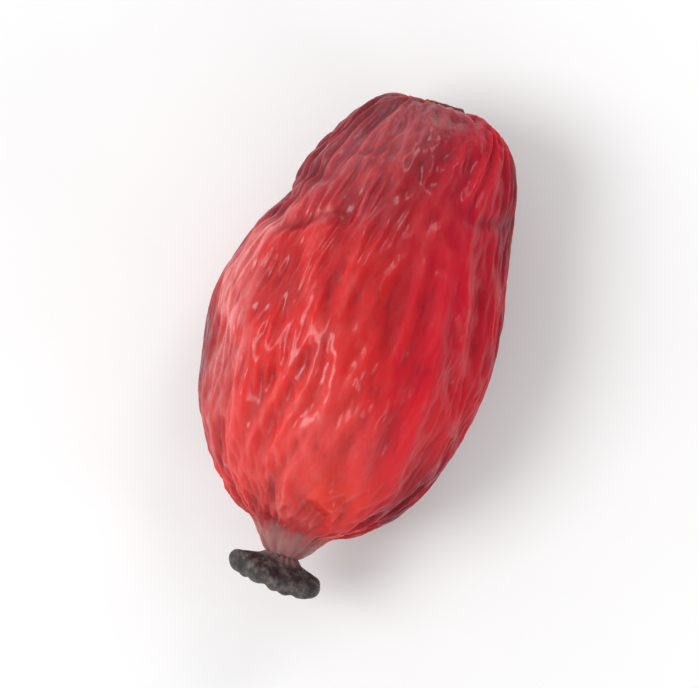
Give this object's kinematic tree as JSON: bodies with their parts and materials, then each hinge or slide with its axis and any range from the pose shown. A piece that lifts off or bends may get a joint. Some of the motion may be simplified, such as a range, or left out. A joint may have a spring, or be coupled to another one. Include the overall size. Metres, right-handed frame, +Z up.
{
  "type": "dried barberry",
  "caption": "Single dried red barberry: an egg-shaped, lengthwise wrinkled berry with a short neck and a small black stigma button, lying on its side.",
  "frame": {"origin": "middle of the foot of the bounding box, on the surface that the berry lies on", "axes": "+X along the berry from the stalk end to the black stigma, +Z up, as it lies on its side"},
  "size_m": [0.008, 0.0046, 0.0039],
  "materials": {
    "berry_skin": "satin",
    "stigma": "matte"
  },
  "bodies": {
    "root": {"berry": "berry_skin", "stigma": "stigma"}
  },
  "joints": []
}
